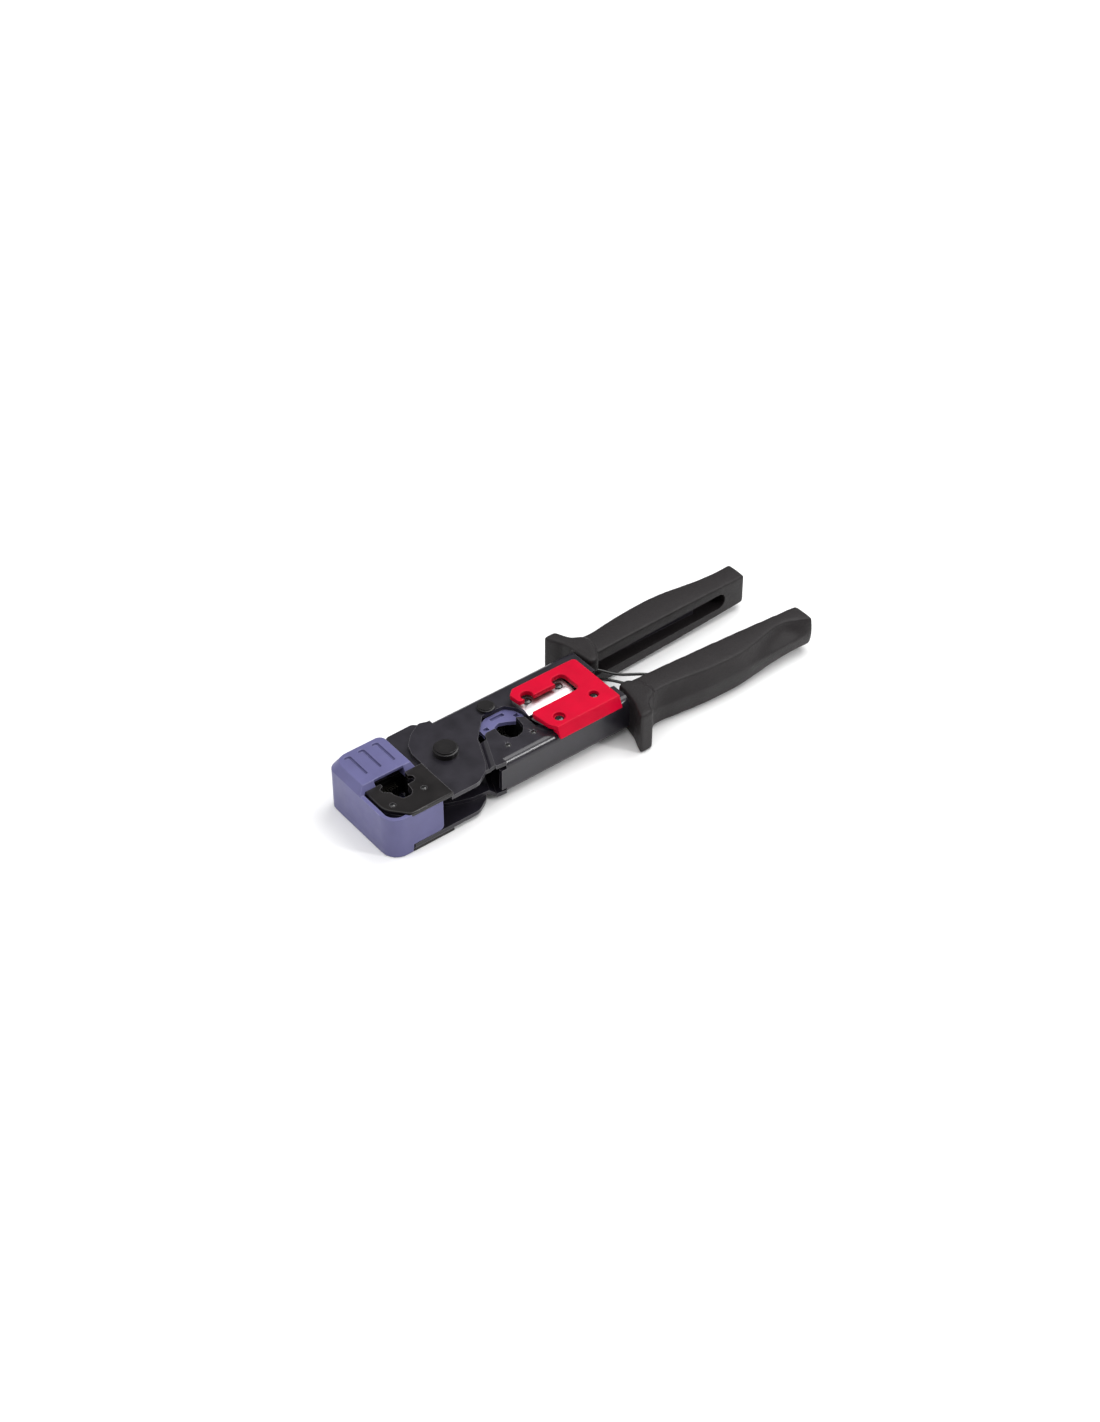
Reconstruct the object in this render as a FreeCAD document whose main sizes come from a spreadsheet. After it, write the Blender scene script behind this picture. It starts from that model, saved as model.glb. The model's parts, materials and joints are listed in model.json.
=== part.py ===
import FreeCAD, Part
import math
import os

# Modular-plug crimping tool, lying flat: X runs along it (head at -X, handles at +X), +Z is up and
# Z = 0 is the face it rests on.  Every piece is drawn about the main pivot, with local Z measured from
# the tool's mid-plane; its Placement carries it to the middle of the tool's own footprint.
# Lever A is the frame: far handle, far web, head with the 8-contact nest and the cutter blade.
# Lever B turns inside it: near handle, near web with the 6-contact nest, and the far jaw.

Vec = FreeCAD.Vector
doc = FreeCAD.newDocument("crimping_tool")

# ---------------------------------------------------------------- driving dimensions (millimetres)
DIMENSIONS = [
    ("pivot_x", -63.6, "main pivot, from the middle of the tool's length"),
    ("pivot_y", 0.65, "main pivot, from the middle of the tool's width"),
    ("mid_height", 10.0, "mid-plane above the rest plane"),
    ("sheet_thick", 1.8, "steel sheet of both levers"),
    ("head_half", 10.0, "mid-plane to the outer face of the riveted head plates"),
    ("frame_half", 8.2, "mid-plane to the outer face of both levers' channels"),
    ("jaw_half", 6.35, "mid-plane to the outer face of lever B's jaw plates"),
    ("fold_outer", 3.3, "outside radius of the channels' folds"),
    ("rim_radius", 0.5, "rounding of the head plates' rims"),
    ("pivot_shank", 3.5, "radius of the main rivet"),
    ("pivot_head", 5.0, "radius of the main rivet's head"),
    ("pivot_top", 11.2, "mid-plane to the top of the main rivet"),
    ("bush_radius", 5.0, "outside radius of the pivot bush"),
    ("run_gap", 0.05, "running clearance"),
    ("cover_wall", 1.8, "wall of the head cover"),
    ("pad_top", 12.5, "mid-plane to the top of the cover's pad"),
    ("groove_deep", 1.0, "depth of the grip grooves"),
    ("blade_thick", 1.0, "cutter blade"),
    ("guard_top", 12.4, "mid-plane to the top of the blade guard"),
    ("guard_under", 10.15, "mid-plane to the guard's underside over lever A"),
    ("tang_half", 3.6, "half height of the tang inside each handle"),
    ("slot_half", 3.65, "half height of the slot in each handle"),
    ("flange_half", 10.0, "half height of the finger guards"),
    ("wire_radius", 0.7, "return spring wire"),
]
sheet = doc.addObject("Spreadsheet::Sheet", "Dims")
for row, (alias, value, note) in enumerate(DIMENSIONS, 1):
    sheet.set(f"A{row}", note)
    sheet.set(f"B{row}", str(value))
    sheet.setAlias(f"B{row}", alias)
doc.recompute()
D = {alias: value for alias, value, _ in DIMENSIONS}

nodes = []          # every finished sub-part, in the order it is made


# ---------------------------------------------------------------- drawing helpers
def unit(dx, dy):
    size = math.hypot(dx, dy)
    return dx / size, dy / size


def outline(corners):
    """Closed outline of lines and arcs; a corner is (x, y) or, where it is rounded, (x, y, radius)."""
    count = len(corners)
    ends = []
    for i, corner in enumerate(corners):
        x, y = corner[0], corner[1]
        radius = corner[2] if len(corner) > 2 else 0.0
        if radius == 0.0:
            ends.append((Vec(x, y, 0), None, Vec(x, y, 0)))
            continue
        before, after = corners[i - 1], corners[(i + 1) % count]
        ax, ay = unit(before[0] - x, before[1] - y)
        bx, by = unit(after[0] - x, after[1] - y)
        half = math.acos(max(-1.0, min(1.0, ax * bx + ay * by))) / 2
        back = radius / math.tan(half)
        mx, my = unit(ax + bx, ay + by)
        reach = radius / math.sin(half) - radius
        ends.append((Vec(x + ax * back, y + ay * back, 0), Vec(x + mx * reach, y + my * reach, 0),
                     Vec(x + bx * back, y + by * back, 0)))
    edges = []
    for i, (start, middle, stop) in enumerate(ends):
        if middle is not None:
            edges.append(Part.Arc(start, middle, stop))
        following = ends[(i + 1) % count][0]
        if stop.distanceToPoint(following) > 1e-6:
            edges.append(Part.LineSegment(stop, following))
    return edges


def box_outline(x0, x1, y0, y1, radius=0.0):
    return [(x0, y0, radius), (x1, y0, radius), (x1, y1, radius), (x0, y1, radius)]


def circle(x, y, radius):
    return ("circle", x, y, radius)


def place(item):
    item.setExpression("Placement.Base.x", "Dims.pivot_x")
    item.setExpression("Placement.Base.y", "Dims.pivot_y")
    item.setExpression("Placement.Base.z", "Dims.mid_height")


def new_body(label):
    body = doc.addObject("PartDesign::Body", label)
    body.Label = label
    place(body)
    nodes.append(body)
    return body


def origin_plane(body, role):
    for feature in body.Origin.OriginFeatures:
        if feature.Role == role:
            return feature
    raise RuntimeError(f"no plane {role}")


def draw(body, loops, level, role="XY_Plane"):
    """A sketch of closed loops on a plane of the body, moved along the plane's normal to level."""
    sketch = body.newObject("Sketcher::SketchObject", "Outline")
    sketch.AttachmentSupport = (origin_plane(body, role), [""])
    sketch.MapMode = "FlatFace"
    sketch.setExpression("AttachmentOffset.Base.z", str(level))
    for loop in loops:
        if loop[0] == "circle":
            sketch.addGeometry(Part.Circle(Vec(loop[1], loop[2], 0), Vec(0, 0, 1), loop[3]), False)
        else:
            for edge in outline(loop):
                sketch.addGeometry(edge, False)
    return sketch


def pad(body, loops, bottom, thick, role="XY_Plane"):
    """Adds the outline as a plate from bottom upwards (or from bottom along X on the YZ plane)."""
    before = body.Shape.Volume if body.Tip else 0.0
    feature = body.newObject("PartDesign::Pad", "Plate")
    feature.Profile = draw(body, loops, bottom, role)
    feature.setExpression("Length", str(thick))
    doc.recompute()
    if body.Shape.Volume <= before + 1e-6:
        raise RuntimeError(f"{body.Label}: a plate added nothing")
    return feature


def pocket(body, loops, top, deep):
    """Cuts the outline from top downwards, and makes sure that it took something away."""
    before = body.Shape.Volume
    feature = body.newObject("PartDesign::Pocket", "Cut")
    feature.Profile = draw(body, loops, top)
    feature.setExpression("Length", str(deep))
    doc.recompute()
    if body.Shape.Volume >= before - 1e-6:
        raise RuntimeError(f"{body.Label}: a cut removed nothing")
    return feature


def loft(body, sections, role="XY_Plane", ruled=True):
    """Adds a solid through closed outlines, each given as (level, corners)."""
    sketches = [draw(body, [corners], level, role) for level, corners in sections]
    feature = body.newObject("PartDesign::AdditiveLoft", "Blend")
    feature.Profile = sketches[0]
    feature.Sections = sketches[1:]
    feature.Ruled = ruled
    doc.recompute()
    return feature


def treat_edges(body, kind, size, wanted):
    """Rounds or chamfers every edge of the body's tip that wanted(its box) picks."""
    tip = body.Tip
    names = [f"Edge{i}" for i, edge in enumerate(tip.Shape.Edges, 1) if wanted(edge.BoundBox)]
    if not names:
        raise RuntimeError(f"{body.Label}: no edge to treat")
    feature = body.newObject(f"PartDesign::{kind}", kind)
    feature.Base = (tip, names)
    feature.setExpression("Radius" if kind == "Fillet" else "Size", str(size))
    doc.recompute()
    return feature


def level_edge(box, level):
    return abs(box.ZMin - level) < 1e-4 and abs(box.ZMax - level) < 1e-4


def cylinder(x, y, bottom, top, radius):
    """A Part cylinder along Z; bottom, top and radius are numbers or expressions of the sheet."""
    solid = doc.addObject("Part::Cylinder", "Step")
    solid.setExpression("Radius", str(radius))
    solid.setExpression("Height", f"({top}) - ({bottom})")
    solid.setExpression("Placement.Base.x", f"Dims.pivot_x + ({x})")
    solid.setExpression("Placement.Base.y", f"Dims.pivot_y + ({y})")
    solid.setExpression("Placement.Base.z", f"Dims.mid_height + ({bottom})")
    return solid


def stepped_pins(label, places, steps):
    """One node of pins, each a stack of cylinders; a step is (bottom, top, radius)."""
    solids = [cylinder(x, y, *step) for x, y in places for step in steps]
    node = solids[0]
    if len(solids) > 1:
        node = doc.addObject("Part::MultiFuse", label)
        node.Shapes = solids
    node.Label = label
    nodes.append(node)
    return node


def channel_profile(side, outer, lap):
    """Cross-section of a channel's web with its two folds; side is +1 for the far web."""
    half, thick, fold = D["frame_half"], D["sheet_thick"], D["fold_outer"]
    inner_face, edge = outer - thick, outer - lap
    bend = fold - thick
    ring = [(edge, half), (outer, half, fold), (outer, -half, fold), (edge, -half),
            (edge, -half + thick), (inner_face, -half + thick, bend), (inner_face, half - thick, bend),
            (edge, half - thick)]
    return [(side * c[0], c[1]) + tuple(c[2:]) for c in ring]


# ---------------------------------------------------------------- shared places and outlines
WEB_REAR = 76.0                         # rear end of both channels
TANG_REAR = 140.0
FAR_WEB, NEAR_WEB = 19.0, 19.2          # outer faces of the two webs
FOLD_LAP = 3.4                          # strip of sheet that the folded profile includes
NEST_PINS = [(-34.4, -13.3), (-19.5, -12.7)]
DRIVE_PIN = (-25.5, 10.5)               # pin of lever B that pushes the 8-contact punch
SMALL_PINS = [(21.5, -11.5), (33.9, -11.5)]
SMALL_RIVET = (27.8, 11.2)              # rivet of lever A that pushes the 6-contact punch
BLADE_SCREWS = [(42.3, 3.7), (57.6, 3.3)]
GUARD_SCREWS = [(44.7, -14.0), (63.6, -11.8)]
SPRING_PIN = (69.0, 9.5)
PIN_RADIUS = 1.2
NEST_OPENING = [(-31.4, 2.4), (-31.4, -2.4), (-33.4, -3.4, 0.5), (-33.2, -5.4, 0.5), (-30.9, -7.4, 0.4),
                (-30.6, -9.6), (-29.0, -12.8, 1.0), (-25.4, -12.9, 1.0), (-23.7, -11.2, 0.5),
                (-23.1, -7.3), (-20.3, -7.4, 0.3), (-18.9, -6.2, 0.8), (-18.9, -4.4, 0.8),
                (-20.3, -3.2, 0.3), (-19.5, 2.4)]
SMALL_OPENING = [(25.2, 3.0), (23.3, -0.8, 1.0), (22.8, -5.0, 1.5), (24.5, -8.6, 1.5), (27.4, -9.7, 1.0),
                 (30.7, -8.8, 1.5), (33.1, -6.2, 1.5), (34.0, -1.1, 1.0), (32.6, 1.4, 0.6), (30.6, 3.0)]


def head_outline(grow=0.0, far=-1.0):
    """Outline of the two riveted head plates, or of the seat that lets them in."""
    return [(-12.2, far), (-12.2, -21.6 - grow), (-31.5 - grow / 2, -21.6 - grow, 2.5),
            (-38.6 - grow, -13.5 - grow / 2, 8.0), (-38.6 - grow, far)]


# ---------------------------------------------------------------- lever A: the frame
def frame_sheet(near_corners):
    """One sheet of lever A: far arm, pivot disc, and the tail inside the head."""
    return [(WEB_REAR, FAR_WEB - FOLD_LAP), (6.0, FAR_WEB - FOLD_LAP), (6.0, 19.0), (4.8, 19.0, 1.0),
            (1.5, 20.2, 2.0), (-4.8, 16.6, 8.0), (-9.2, 12.0, 4.0), (-10.9, 7.2, 3.0), (-10.9, -3.0),
            (-38.4, -3.0)] + near_corners + [
            (0.0, -21.5, 5.0), (5.8, -18.0, 4.0), (8.6, -14.0, 3.0), (14.4, -1.4, 4.0),
            (24.2, 8.8, 1.5), (34.1, 8.0, 2.0), (37.7, 3.6, 2.0), (38.3, -3.2), (61.0, -3.2, 0.5),
            (61.4, 3.0), (WEB_REAR, 3.0)]


TOP_TAIL = [(-38.4, -13.0, 6.0), (-33.5, -19.8, 5.0), (-12.8, -19.8), (-12.8, -21.5)]
BOTTOM_TAIL = [(-38.4, -13.0, 6.0), (-33.5, -19.8, 3.0), (-31.0, -19.8), (-30.4, -21.6)]


def make_frame_channel():
    body = new_body("frame_channel")
    pad(body, [channel_profile(1, FAR_WEB, FOLD_LAP)], 6.0, WEB_REAR - 6.0, "YZ_Plane")
    tang = box_outline(WEB_REAR - 1, TANG_REAR, FAR_WEB - D["sheet_thick"], FAR_WEB)
    pad(body, [tang], "-Dims.tang_half", "2 * Dims.tang_half")
    rivets = [circle(0, 0, D["pivot_shank"]), circle(*SMALL_RIVET, 1.6), circle(*SPRING_PIN, 2.0)]
    pins = [circle(x, y, PIN_RADIUS) for x, y in NEST_PINS]
    screws = [circle(x, y, PIN_RADIUS) for x, y in BLADE_SCREWS]
    pad(body, [frame_sheet(TOP_TAIL)] + rivets + pins + screws,
        "Dims.frame_half - Dims.sheet_thick", "Dims.sheet_thick")
    pad(body, [frame_sheet(BOTTOM_TAIL)] + rivets + pins, "-Dims.frame_half", "Dims.sheet_thick")
    pocket(body, [NEST_OPENING[1:-1] + [(-19.6, -2.0), (-31.4, -2.0)]], "Dims.frame_half",
           "2 * Dims.frame_half")


def make_head_plates():
    for label, bottom in (("head_plate_top", "Dims.frame_half"), ("head_plate_bottom", "-Dims.head_half")):
        body = new_body(label)
        pins = [circle(x, y, PIN_RADIUS) for x, y in NEST_PINS]
        pad(body, [head_outline()] + pins, bottom, "Dims.head_half - Dims.frame_half")
        pocket(body, [NEST_OPENING], 11, 22)
        face = D["head_half"] if label.endswith("top") else -D["head_half"]
        treat_edges(body, "Fillet", "Dims.rim_radius",
                    lambda box: level_edge(box, face) and box.YMax < -13 and box.YMin < -15
                    and (box.XLength > 4 or box.YLength > 3) and box.XLength < 25)
    stepped_pins("nest_rivets", NEST_PINS, [("-Dims.head_half", "Dims.head_half + 0.25", PIN_RADIUS)])


def make_nest():
    body = new_body("plug_nest")
    half = D["jaw_half"]
    block = [(-37.4, -0.6), (-37.4, -19.0, 6.0), (-16.2, -19.0, 2.0), (-16.2, -0.6)]
    pins = [circle(x, y, PIN_RADIUS) for x, y in NEST_PINS]
    pad(body, [block] + pins, -half, 2 * half)
    pocket(body, [NEST_OPENING], half, 2 * half)
    for x0, x1 in ((-37.4, -33.1), (-17.9, -14.4)):
        pad(body, [box_outline(x0, x1, -1.0, 12.0)], -4.45, 8.9)


def make_pivot():
    stepped_pins("pivot_rivet", [(0, 0)],
                 [(-9.9, "Dims.pivot_top - 0.8", "Dims.pivot_shank"),
                  (-9.9, "-Dims.frame_half", "Dims.pivot_head"),
                  ("Dims.frame_half", "Dims.pivot_top - 0.7", "Dims.pivot_head"),
                  ("Dims.pivot_top - 0.7", "Dims.pivot_top", "Dims.pivot_head - 0.7")])
    bush = new_body("pivot_bush")
    half = D["jaw_half"]
    pad(bush, [circle(0, 0, D["bush_radius"]), circle(0, 0, D["pivot_shank"])], -half, 2 * half)
    stepped_pins("punch_rivet", [SMALL_RIVET],
                 [("-Dims.frame_half", 4.4, 1.6),
                  ("Dims.frame_half - Dims.sheet_thick", "Dims.frame_half", 1.6),
                  ("Dims.frame_half", "Dims.frame_half + 1.2", 3.6),
                  ("Dims.frame_half + 1.2", "Dims.frame_half + 1.7", 3.0),
                  (-9.7, "-Dims.frame_half", 3.4)])


# ---------------------------------------------------------------- punches and their contact teeth
def make_punch(names, left, right, near, far, slot, mid, teeth):
    """A punch block with a slot for its drive pin, and the comb of contact teeth on its nose."""
    punch, comb = new_body(names[0]), new_body(names[1])
    tall, pitch, tooth = 8.8, 1.02, 0.6
    pad(punch, [box_outline(left, right, near, far), slot], -tall / 2, tall)
    first = mid - pitch * (teeth - 1) / 2
    root = 1.4
    pad(comb, [box_outline(first - 0.6, first + pitch * (teeth - 1) + 0.6, near - root, near)], -3.6, 6.2)
    for i in range(teeth):
        x = first + pitch * i
        blade = box_outline(x - tooth / 2, x + tooth / 2, near - root - 1.6, near - root + 0.1)
        pad(comb, [blade], -3.2, 5.4)


def slot_outline(x0, x1, y, radius):
    return box_outline(x0 - radius, x1 + radius, y - radius, y + radius, radius * 0.95)


# ---------------------------------------------------------------- head cover
FRONT, FAR, NEAR = -41.2, 20.8, -21.6
COVER_REAR = -16.9
NEAR_WALL_FOOT = -6.3                   # lower edge of the near wall, over the bottom head plate


def make_head_cover():
    body = new_body("head_cover")
    wall = D["cover_wall"]
    outer = [(COVER_REAR, NEAR), (FRONT, NEAR, 7.0), (FRONT, FAR, 4.5), (COVER_REAR, FAR)]
    pad(body, [outer], -9.8, 19.0)
    inner = [(-10, NEAR + wall), (FRONT + wall, NEAR + wall, 5.2), (FRONT + wall, FAR - wall, 2.7),
             (-10, FAR - wall)]
    pocket(body, [inner], 9.2, 20)
    # floor skin under the jaw and the thick pad over it, which slopes down on every side
    skin = [(COVER_REAR, -0.9), (FRONT + 0.5, -0.9), (FRONT + 0.5, FAR - 0.5, 4.0), (COVER_REAR, FAR - 0.5)]
    pad(body, [skin], -9.8, 1.5)
    foot = [(-14.8, -1.6), (FRONT, -1.6), (FRONT, FAR, 4.5), (-14.8, FAR, 3.0)]
    crest = [(-16.5, 0.2), (-38.7, 0.2), (-38.7, 19.4, 5.5), (-16.5, 19.4, 3.0)]
    loft(body, [(9.2, foot), ("Dims.pad_top", crest)])
    pad(body, [skin], 7.4, 1.9)
    # the opening between the two tabs, and the seats of the head plates
    pocket(body, [box_outline(-33.6, -20.0, -3, 0.3)], 13, 6)
    pocket(body, [box_outline(-33.6, -20.0, -3, 14.0)], 11.1, 5)
    pocket(body, [head_outline(0.05, -0.95)], 10.05, 1.9)
    pocket(body, [head_outline(0.05, -0.95)], -8.15, 1.9)
    open_near = [(-9, -22), (-31.0, -22), (-31.0, -0.95), (-9, -0.95)]
    pocket(body, [open_near], 9.3, 1.15)
    pocket(body, [open_near], NEAR_WALL_FOOT, 4)
    for x in (-33.4, -27.0, -20.6):
        hook = [(x - 0.6, 4.8, 0.55), (x + 0.6, 4.8, 0.55), (x + 0.6, 17.2, 1.1), (x - 2.2, 17.2, 0.55),
                (x - 2.2, 16.0, 0.55), (x - 0.6, 16.0)]
        pocket(body, [hook], "Dims.pad_top", "Dims.groove_deep")
    # the near wall's lower rear corner
    treat_edges(body, "Fillet", 2.0,
                lambda box: level_edge(box, NEAR_WALL_FOOT) and box.XMin > COVER_REAR - 1e-3
                and box.XMax < COVER_REAR + 1e-3 and box.YMax < NEAR + wall + 0.01)


# ---------------------------------------------------------------- lever B
def ramp_point(along, off):
    """A point by distance along lever A's slanted right edge and off it, towards lever B."""
    start, stop = (8.6, -14.0), (14.4, -1.4)
    dx, dy = unit(stop[0] - start[0], stop[1] - start[1])
    return (start[0] + dx * along + dy * off, start[1] + dy * along - dx * off)


RAMP_LENGTH = 13.87
RAMP_START = 0.9                        # foot of the ramp, clear of lever A at full closing
RAMP_RUN = 2.4


def make_lever_channel():
    body = new_body("lever_channel")
    pad(body, [channel_profile(-1, NEAR_WEB, FOLD_LAP)], 15.0, WEB_REAR - 15.0, "YZ_Plane")
    flat = D["frame_half"] - D["fold_outer"]
    pad(body, [box_outline(12.6, 15.5, -NEAR_WEB, -NEAR_WEB + D["sheet_thick"])], -flat, 2 * flat)
    tang = box_outline(WEB_REAR - 1, TANG_REAR, -NEAR_WEB, -NEAR_WEB + D["sheet_thick"])
    pad(body, [tang], "-Dims.tang_half", "2 * Dims.tang_half")
    head = RAMP_START + RAMP_RUN
    lap_y = -NEAR_WEB + FOLD_LAP
    flush = [ramp_point(-3.0, head + 0.3), (15.2, -NEAR_WEB + 0.4), (15.2, lap_y), (WEB_REAR, lap_y),
             (WEB_REAR, -9.2), (63.2, -7.4, 1.5), (61.8, -13.2, 1.0), (36.9, -9.5, 0.8), (36.7, -2.0, 0.8),
             (34.2, -0.5), (19.2, -0.5), (17.9, -1.3), ramp_point(RAMP_LENGTH - 1.0, head)]
    jaw = [(-14.0, 4.0, 2.0), (-14.6, -3.0, 6.0), (-10.0, -12.0, 7.0), (0.0, -15.6, 8.0),
           (8.2, -16.4, 1.0), ramp_point(-1.4, RAMP_START), ramp_point(RAMP_LENGTH - 1.0, RAMP_START),
           (15.6, 4.0, 4.0), (9.0, 13.0, 5.0), (1.8, 21.5, 2.0), (0.0, 23.0, 2.0), (-12.0, 22.8, 3.0),
           (-16.2, 18.8, 1.0), (-35.5, 18.8, 2.0), (-35.5, 6.5, 1.0)]
    holes = [circle(x, y, PIN_RADIUS) for x, y in SMALL_PINS]
    slope = RAMP_RUN / (D["frame_half"] - D["jaw_half"])
    lower, upper = D["jaw_half"] - D["sheet_thick"], D["frame_half"]
    rise = upper - lower
    back = RAMP_START - D["sheet_thick"] * slope

    def strip(shift):
        return [ramp_point(-2.4, back + shift), ramp_point(-2.4, RAMP_START + shift),
                ramp_point(RAMP_LENGTH - 1.0, RAMP_START + shift),
                ramp_point(RAMP_LENGTH - 1.0, back + shift)]
    for side in (1, -1):
        screws = [circle(x, y, PIN_RADIUS) for x, y in GUARD_SCREWS] if side > 0 else []
        pad(body, [flush] + holes + screws,
            "Dims.frame_half - Dims.sheet_thick" if side > 0 else "-Dims.frame_half", "Dims.sheet_thick")
        levels = [(lower, strip(0.0)), (upper, strip(rise * slope))]
        if side < 0:
            levels = [(-upper, strip(rise * slope)), (-lower, strip(0.0))]
        loft(body, levels)
        pad(body, [jaw, circle(0, 0, D["bush_radius"] + D["run_gap"]), circle(*DRIVE_PIN, 2.0)],
            "Dims.jaw_half - Dims.sheet_thick" if side > 0 else "-Dims.jaw_half", "Dims.sheet_thick")
    pocket(body, [SMALL_OPENING], "Dims.frame_half", "2 * Dims.frame_half")


def make_jaw_pieces():
    spacer = new_body("jaw_spacer")
    inner = D["jaw_half"] - D["sheet_thick"]
    block = [(-9.0, 13.0, 1.0), (1.0, 13.0, 1.0), (1.0, 21.0, 1.5), (-9.0, 21.0, 1.5)]
    pad(spacer, [block], -inner, 2 * inner)
    stepped_pins("drive_pin", [DRIVE_PIN], [("-Dims.jaw_half", "Dims.jaw_half", 2.0)])


def make_small_station():
    """The 6-contact station on lever B: nest block, plastic guide plate and pins."""
    half = D["jaw_half"]
    body = new_body("small_plug_nest")
    block = box_outline(19.4, 36.4, -15.4, -0.6)
    pad(body, [block] + [circle(x, y, PIN_RADIUS) for x, y in SMALL_PINS], -half, 2 * half)
    pocket(body, [SMALL_OPENING], half, 2 * half)
    for x0, x1 in ((19.4, 22.4), (33.6, 36.4)):
        pad(body, [box_outline(x0, x1, -1.0, 10.4)], -4.45, 8.9)
    guide = new_body("plug_guide")
    plan = [(18.8, 0.0, 0.8), (19.0, 4.1, 1.0), (20.7, 6.3, 1.0), (25.1, 8.2, 1.0), (34.1, 8.2, 1.5),
            (37.0, 4.6, 1.5), (38.4, 0.0, 0.8), (35.4, -0.4), (22.3, -0.4)]
    pad(guide, [plan], 4.55, 1.75)
    far_lip = [(34.0, -0.6, 0.4), (30.8, 1.4, 0.5), (27.5, 2.8, 0.8), (24.9, 1.8, 0.8)]
    pocket(guide, [SMALL_OPENING[1:-2] + far_lip], 7, 4)
    for blind in (box_outline(26.0, 32.4, 5.0, 6.9), box_outline(20.3, 22.6, 1.7, 3.6),
                  box_outline(34.9, 36.9, 1.2, 3.2)):
        pocket(guide, [blind], 6.3, 1.2)
    stepped_pins("small_nest_pins", SMALL_PINS,
                 [("-Dims.frame_half", "Dims.frame_half + 0.25", PIN_RADIUS)])


# ---------------------------------------------------------------- blades and guard
def make_blades():
    blade = new_body("cutter_blade")
    holes = [circle(x, y, PIN_RADIUS) for x, y in BLADE_SCREWS]
    pad(blade, [[(38.2, -3.0), (61.6, -3.0), (61.6, 10.4), (40.6, 10.4), (38.2, 8.0)]] + holes,
        "Dims.frame_half", "Dims.blade_thick")
    top = D["frame_half"] + D["blade_thick"]
    tip = blade.Tip
    names = [f"Edge{i}" for i, edge in enumerate(tip.Shape.Edges, 1)
             if level_edge(edge.BoundBox, top) and edge.BoundBox.YMax < -2.9]
    bevel = blade.newObject("PartDesign::Chamfer", "Bevel")
    bevel.Base = (tip, names)
    bevel.ChamferType = "Two distances"
    bevel.Size = 0.8
    bevel.Size2 = 2.8
    doc.recompute()
    stepped_pins("blade_screws", BLADE_SCREWS,
                 [("Dims.frame_half - Dims.sheet_thick", "Dims.frame_half + Dims.blade_thick", PIN_RADIUS),
                  ("Dims.frame_half + Dims.blade_thick", "Dims.head_half", 1.9)])
    strip = new_body("stripper_blade")
    plan = [(37.0, -6.2), (60.0, -7.7), (60.0, -15.2), (40.8, -15.2), (38.2, -11.0)]
    pad(strip, [plan, circle(*GUARD_SCREWS[0], PIN_RADIUS)], 9.25, 0.7)
    pad(strip, [circle(*GUARD_SCREWS[0], 1.75), circle(*GUARD_SCREWS[0], PIN_RADIUS)], "Dims.frame_half", 1.1)


def make_guard():
    body = new_body("blade_guard")
    under, top = D["guard_under"], D["guard_top"]
    plan = [(37.8, -5.5, 0.6), (37.4, -7.5, 0.6), (38.4, -15.2, 1.0), (40.2, -18.4), (71.2, -18.4),
            (71.2, 10.2, 2.0), (39.9, 10.4, 2.2), (37.0, 7.8, 1.2), (37.6, 2.2, 1.2), (61.7, 2.0, 2.2),
            (61.7, -5.5, 2.2)]
    pad(body, [plan], under, top - under)
    for x, y in BLADE_SCREWS:
        pocket(body, [circle(x, y, 2.6)], top, top - under + 0.1)
    pocket(body, [[(56.8, 0.5), (61.7, 0.5), (61.7, 5.9, 2.4), (57.4, 5.9)]], top, top - under + 0.1)
    # the near side stands on lever B and hangs over its fold
    apron = [(-15.8, top), (-18.7, top), (-20.8, 7.2), (-19.35, 7.2), (-18.9, 8.25), (-15.8, 8.25)]
    pad(body, [apron], 40.2, 31.0, "YZ_Plane")
    x, y = GUARD_SCREWS[1]
    pad(body, [circle(x, y, 2.9)], "Dims.frame_half", under - D["frame_half"] + 0.1)
    pocket(body, [circle(*GUARD_SCREWS[0], 2.4), circle(x, y, 2.0)], top, top - under - 0.6)
    pocket(body, [circle(*GUARD_SCREWS[0], PIN_RADIUS), circle(x, y, PIN_RADIUS)], top, top - 8.2)
    stepped_pins("guard_screws", GUARD_SCREWS,
                 [("Dims.frame_half - Dims.sheet_thick", 10.75, PIN_RADIUS), (10.75, 11.75, 1.8)])


# ---------------------------------------------------------------- handles
def make_handle(label, side, flange, inner, grip, web):
    """side is +1 for the far handle; grip lists (x, outer face, half height) from front to rear."""
    body = new_body(label)
    pad(body, [[(c[0], side * c[1]) + tuple(c[2:]) for c in flange]], "-Dims.flange_half",
        "2 * Dims.flange_half")
    sections = []
    for x, outer, half in grip:
        soft, hard = 3.2, 1.0
        near, far = inner(x), outer
        ring = [(side * near, -half, hard), (side * far, -half, soft), (side * far, half, soft),
                (side * near, half, hard)]
        sections.append((x, ring))
    loft(body, sections, "YZ_Plane", ruled=False)
    y0, y1 = side * (inner(grip[0][0]) - 6.0), side * (web + 0.05)
    slot = box_outline(grip[0][0] - 20.0, TANG_REAR + 14.0, min(y0, y1), max(y0, y1))
    pocket(body, [slot], "Dims.slot_half", "2 * Dims.slot_half")


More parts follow.
